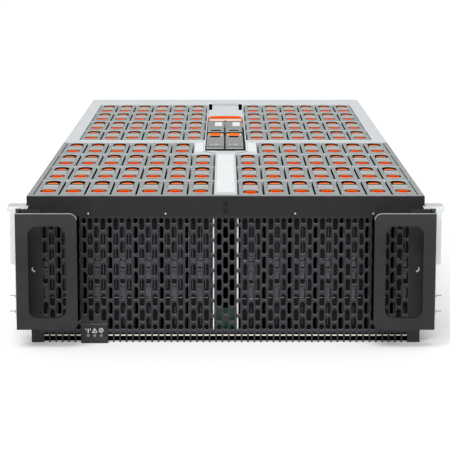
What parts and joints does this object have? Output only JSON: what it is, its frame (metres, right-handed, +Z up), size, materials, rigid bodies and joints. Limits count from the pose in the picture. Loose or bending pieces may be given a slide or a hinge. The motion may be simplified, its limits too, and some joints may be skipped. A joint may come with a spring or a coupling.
{
  "type": "disk shelf enclosure",
  "caption": "Deep rack disk shelf with its lid off: slotted black front panel with grab handles, rows of standing drives in carriers, a middle module bay, fans and rack rails.",
  "frame": {"origin": "middle of the underside of the whole shelf's box, handles and rails included", "axes": "+Z up, the front panel faces -Y, +X to the right seen from the front"},
  "size_m": [0.492, 1.117, 0.168],
  "materials": {
    "black_steel": "black textured powder coat",
    "pan_steel": "galvanised sheet",
    "bright_steel": "pre-plated bright sheet",
    "rail_steel": "bright zinc plate",
    "black_plastic": "fine-textured moulding",
    "light_pipe": "translucent, unlit",
    "board": "solder mask",
    "carrier_grey": "fine-textured moulding",
    "release_orange": "satin moulding",
    "drive_casting": "die-cast, as cast",
    "module_steel": "plated sheet",
    "screw_black": "black zinc"
  },
  "bodies": {
    "enclosure": {"front_grille": "black_steel", "right_handle": "black_steel", "left_handle": "black_steel", "base_pan": "pan_steel", "rear_frame": "pan_steel", "front_top_rail": "bright_steel", "front_dividers": "bright_steel", "rear_dividers": "bright_steel", "mid_crossbar": "bright_steel", "rear_side_strips": "bright_steel", "rear_top_cover": "bright_steel", "center_channel": "bright_steel", "expander_bay": "bright_steel", "filler_plates": "bright_steel", "bay_cover": "bright_steel", "inner_rails": "rail_steel", "indicator_panel": "black_plastic", "indicator_lights": "light_pipe", "front_backplane": "board", "rear_backplane": "board", "panel_screws": "screw_black", "carriers_row_1": "carrier_grey", "carriers_row_2": "carrier_grey", "carriers_row_3": "carrier_grey", "carriers_row_4": "carrier_grey", "carriers_row_5": "carrier_grey", "carriers_row_6": "carrier_grey", "carriers_row_7": "carrier_grey", "carriers_row_8": "carrier_grey"},
    "drive_unit_a": {"carrier_a": "carrier_grey", "drive_a": "drive_casting"},
    "front_pad_a": {"front_pad_a": "release_orange"},
    "rear_pad_a": {"rear_pad_a": "release_orange"},
    "drive_unit_b": {"carrier_b": "carrier_grey", "drive_b": "drive_casting"},
    "front_pad_b": {"front_pad_b": "release_orange"},
    "rear_pad_b": {"rear_pad_b": "release_orange"},
    "right_expander": {"right_expander": "carrier_grey"},
    "right_ejector": {"right_ejector": "carrier_grey"},
    "left_expander": {"left_expander": "carrier_grey"},
    "left_ejector": {"left_ejector": "carrier_grey"},
    "pull_bar": {"pull_bar": "release_orange"},
    "power_supply_1": {"power_supply_1": "module_steel"},
    "power_supply_2": {"power_supply_2": "module_steel"},
    "io_module_1": {"io_module_1": "module_steel"},
    "io_lever_1": {"io_lever_1": "release_orange"},
    "io_module_2": {"io_module_2": "module_steel"},
    "io_lever_2": {"io_lever_2": "release_orange"},
    "fan_module_1": {"fan_housing_1": "black_plastic"},
    "fan_rotor_1": {"fan_rotor_1": "black_plastic"},
    "fan_module_2": {"fan_housing_2": "black_plastic"},
    "fan_rotor_2": {"fan_rotor_2": "black_plastic"},
    "fan_module_3": {"fan_housing_3": "black_plastic"},
    "fan_rotor_3": {"fan_rotor_3": "black_plastic"},
    "fan_module_4": {"fan_housing_4": "black_plastic"},
    "fan_rotor_4": {"fan_rotor_4": "black_plastic"},
    "right_rail": {"right_rail": "rail_steel"},
    "left_rail": {"left_rail": "rail_steel"}
  },
  "joints": [
    {"name": "drive_a_lift", "type": "slide", "parent": "enclosure", "child": "drive_unit_a", "axis": [0, 0, 1], "range_m": [0, 0.165]},
    {"name": "front_pad_a_pinch", "type": "slide", "parent": "drive_unit_a", "child": "front_pad_a", "axis": [0, 1, 0], "range_m": [0, 0.0035], "stiffness_N_per_m": 400},
    {"name": "rear_pad_a_pinch", "type": "slide", "parent": "drive_unit_a", "child": "rear_pad_a", "axis": [0, -1, 0], "range_m": [0, 0.0035], "stiffness_N_per_m": 400},
    {"name": "drive_b_lift", "type": "slide", "parent": "enclosure", "child": "drive_unit_b", "axis": [0, 0, 1], "range_m": [0, 0.165]},
    {"name": "front_pad_b_pinch", "type": "slide", "parent": "drive_unit_b", "child": "front_pad_b", "axis": [0, 1, 0], "range_m": [0, 0.0035], "stiffness_N_per_m": 400},
    {"name": "rear_pad_b_pinch", "type": "slide", "parent": "drive_unit_b", "child": "rear_pad_b", "axis": [0, -1, 0], "range_m": [0, 0.0035], "stiffness_N_per_m": 400},
    {"name": "right_expander_lift", "type": "slide", "parent": "enclosure", "child": "right_expander", "axis": [0, 0, 1], "range_m": [0, 0.11]},
    {"name": "right_ejector_open", "type": "hinge", "parent": "right_expander", "child": "right_ejector", "pos_m": [0, -0.1055, 0.1635], "axis": [1, 0, 0], "range_deg": [0, 60]},
    {"name": "left_expander_lift", "type": "slide", "parent": "enclosure", "child": "left_expander", "axis": [0, 0, 1], "range_m": [0, 0.11]},
    {"name": "left_ejector_open", "type": "hinge", "parent": "left_expander", "child": "left_ejector", "pos_m": [0, -0.1055, 0.1635], "axis": [1, 0, 0], "range_deg": [0, 60]},
    {"name": "pull_bar_open", "type": "hinge", "parent": "enclosure", "child": "pull_bar", "pos_m": [0, 0.2839, 0.1652], "axis": [-1, 0, 0], "range_deg": [0, 90]},
    {"name": "power_supply_1_slide", "type": "slide", "parent": "enclosure", "child": "power_supply_1", "axis": [0, 1, 0], "range_m": [0, 0.3]},
    {"name": "power_supply_2_slide", "type": "slide", "parent": "enclosure", "child": "power_supply_2", "axis": [0, 1, 0], "range_m": [0, 0.3]},
    {"name": "io_module_1_slide", "type": "slide", "parent": "enclosure", "child": "io_module_1", "axis": [0, 1, 0], "range_m": [0, 0.3]},
    {"name": "io_lever_1_open", "type": "hinge", "parent": "io_module_1", "child": "io_lever_1", "pos_m": [-0.02225, 0.5395, 0.0941], "axis": [0, 0, 1], "range_deg": [0, 75]},
    {"name": "io_module_2_slide", "type": "slide", "parent": "enclosure", "child": "io_module_2", "axis": [0, 1, 0], "range_m": [0, 0.3]},
    {"name": "io_lever_2_open", "type": "hinge", "parent": "io_module_2", "child": "io_lever_2", "pos_m": [-0.02225, 0.5395, 0.133], "axis": [0, 0, 1], "range_deg": [0, 75]},
    {"name": "fan_module_1_slide", "type": "slide", "parent": "enclosure", "child": "fan_module_1", "axis": [0, 1, 0], "range_m": [0, 0.08]},
    {"name": "fan_rotor_1_spin", "type": "hinge", "parent": "fan_module_1", "child": "fan_rotor_1", "pos_m": [-0.1708, 0.5145, 0.0828], "axis": [0, 1, 0], "continuous": true},
    {"name": "fan_module_2_slide", "type": "slide", "parent": "enclosure", "child": "fan_module_2", "axis": [0, 1, 0], "range_m": [0, 0.08]},
    {"name": "fan_rotor_2_spin", "type": "hinge", "parent": "fan_module_2", "child": "fan_rotor_2", "pos_m": [-0.0768, 0.5145, 0.0828], "axis": [0, 1, 0], "continuous": true},
    {"name": "fan_module_3_slide", "type": "slide", "parent": "enclosure", "child": "fan_module_3", "axis": [0, 1, 0], "range_m": [0, 0.08]},
    {"name": "fan_rotor_3_spin", "type": "hinge", "parent": "fan_module_3", "child": "fan_rotor_3", "pos_m": [0.0768, 0.5145, 0.0828], "axis": [0, 1, 0], "continuous": true},
    {"name": "fan_module_4_slide", "type": "slide", "parent": "enclosure", "child": "fan_module_4", "axis": [0, 1, 0], "range_m": [0, 0.08]},
    {"name": "fan_rotor_4_spin", "type": "hinge", "parent": "fan_module_4", "child": "fan_rotor_4", "pos_m": [0.1708, 0.5145, 0.0828], "axis": [0, 1, 0], "continuous": true},
    {"name": "right_rail_slide", "type": "slide", "parent": "enclosure", "child": "right_rail", "axis": [0, 1, 0], "range_m": [0, 0.7]},
    {"name": "left_rail_slide", "type": "slide", "parent": "enclosure", "child": "left_rail", "axis": [0, 1, 0], "range_m": [0, 0.7]}
  ]
}
